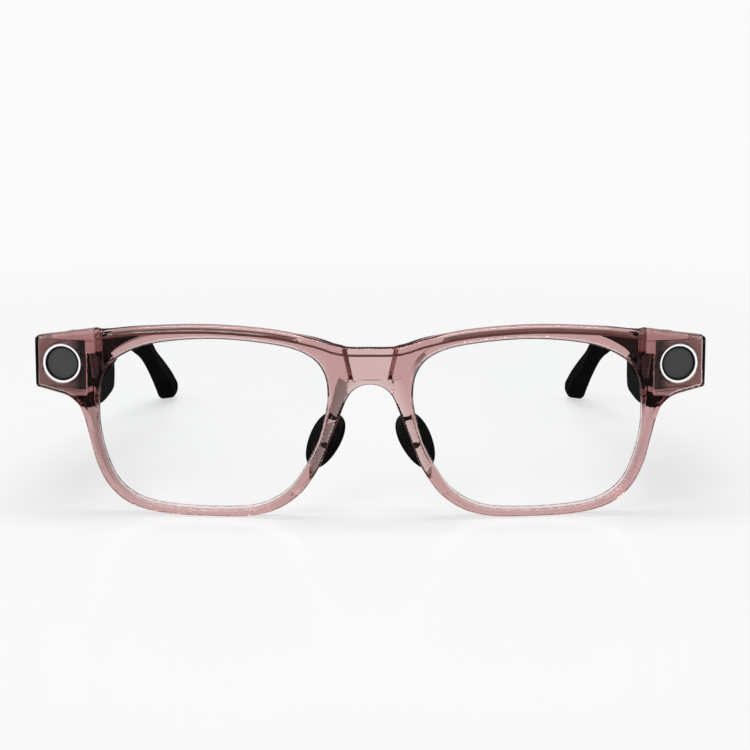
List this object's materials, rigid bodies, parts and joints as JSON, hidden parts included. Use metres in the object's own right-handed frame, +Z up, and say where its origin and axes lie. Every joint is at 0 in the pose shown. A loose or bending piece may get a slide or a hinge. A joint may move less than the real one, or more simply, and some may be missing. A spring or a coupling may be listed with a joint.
{
  "type": "smart glasses",
  "caption": "Camera glasses with a clear tinted front, clear lenses, a round window in each corner, nose pads and folding electronics temples with rubber tips.",
  "frame": {"origin": "middle of the footprint with the temples open, on the surface that the rims and tips stand on", "axes": "+X to the wearer's left, +Y back towards the ears, +Z up; the front faces -Y"},
  "size_m": [0.15, 0.1436, 0.0431],
  "materials": {
    "tinted_front": "clear rose-mauve moulded plastic, polished",
    "flex_film": "thin copper-brown film",
    "lens": "clear, coated",
    "pad_rubber": "soft matte silicone",
    "black_plastic": "fine moulded texture",
    "ring_white": "white diffuser",
    "gloss_black": "polished black",
    "window_glass": "smoked flat window",
    "housing_grey": "dark moulded housing",
    "circuit_board": "solder mask",
    "steel": "fine machined",
    "temple_black": "satin black moulding",
    "battery_wrap": "foil pouch",
    "gold": "gold flash",
    "tip_rubber": "soft black rubber"
  },
  "bodies": {
    "front": {"front_frame": "tinted_front", "brow_flex": "flex_film", "lens_left": "lens", "lens_right": "lens", "nose_pad_left": "pad_rubber", "nose_pad_right": "pad_rubber", "nose_pad_core_left": "black_plastic", "nose_pad_core_right": "black_plastic", "light_ring_left": "ring_white", "light_ring_right": "ring_white", "window_bezel_left": "gloss_black", "window_bezel_right": "gloss_black", "camera_window_left": "window_glass", "camera_window_right": "window_glass", "camera_barrel_left": "gloss_black", "camera_barrel_right": "gloss_black", "camera_housing_left": "housing_grey", "camera_housing_right": "housing_grey", "camera_board_left": "circuit_board", "camera_board_right": "circuit_board", "corner_cover_left": "black_plastic", "corner_cover_right": "black_plastic", "hinge_front_leaf_left": "steel", "hinge_front_leaf_right": "steel", "hinge_pin_left": "steel", "hinge_pin_right": "steel", "corner_screws_left": "steel", "corner_screws_right": "steel"},
    "temple_left_body": {"temple_outer_shell_left": "temple_black", "temple_inner_shell_left": "temple_black", "temple_chassis_left": "black_plastic", "hinge_temple_leaf_left": "steel", "temple_screws_left": "steel", "battery_left": "battery_wrap", "audio_board": "circuit_board", "speaker_left": "black_plastic", "microphones_left": "gold", "temple_flex_left": "flex_film", "temple_tip_left": "tip_rubber", "tip_core_left": "steel"},
    "temple_right_body": {"temple_outer_shell_right": "temple_black", "temple_inner_shell_right": "temple_black", "temple_chassis_right": "black_plastic", "hinge_temple_leaf_right": "steel", "temple_screws_right": "steel", "battery_right": "battery_wrap", "main_board": "circuit_board", "speaker_right": "black_plastic", "microphones_right": "gold", "touch_sensor": "flex_film", "charge_contact_block": "gloss_black", "charge_pins": "gold", "temple_flex_right": "flex_film", "temple_tip_right": "tip_rubber", "tip_core_right": "steel"},
    "capture_button_body": {"capture_button": "gloss_black"},
    "action_button_body": {"action_button": "gloss_black"},
    "power_slider_body": {"power_slider": "gloss_black"}
  },
  "joints": [
    {"name": "temple_fold_left", "type": "hinge", "parent": "front", "child": "temple_left_body", "pos_m": [0.0646, -0.0536, 0.0335], "axis": [0, 0, 1], "range_deg": [0, 87]},
    {"name": "temple_fold_right", "type": "hinge", "parent": "front", "child": "temple_right_body", "pos_m": [-0.0646, -0.0536, 0.0335], "axis": [0, 0, -1], "range_deg": [0, 76]},
    {"name": "capture_button_press", "type": "slide", "parent": "temple_right_body", "child": "capture_button_body", "axis": [0, 0, -1], "range_m": [0, 0.0005], "stiffness_N_per_m": 600, "springref_m": -0.0008},
    {"name": "action_button_press", "type": "slide", "parent": "temple_left_body", "child": "action_button_body", "axis": [0, 0, -1], "range_m": [0, 0.0005], "stiffness_N_per_m": 600, "springref_m": -0.0008},
    {"name": "power_slider_move", "type": "slide", "parent": "temple_right_body", "child": "power_slider_body", "axis": [0, 1, 0], "range_m": [0, 0.002]}
  ]
}
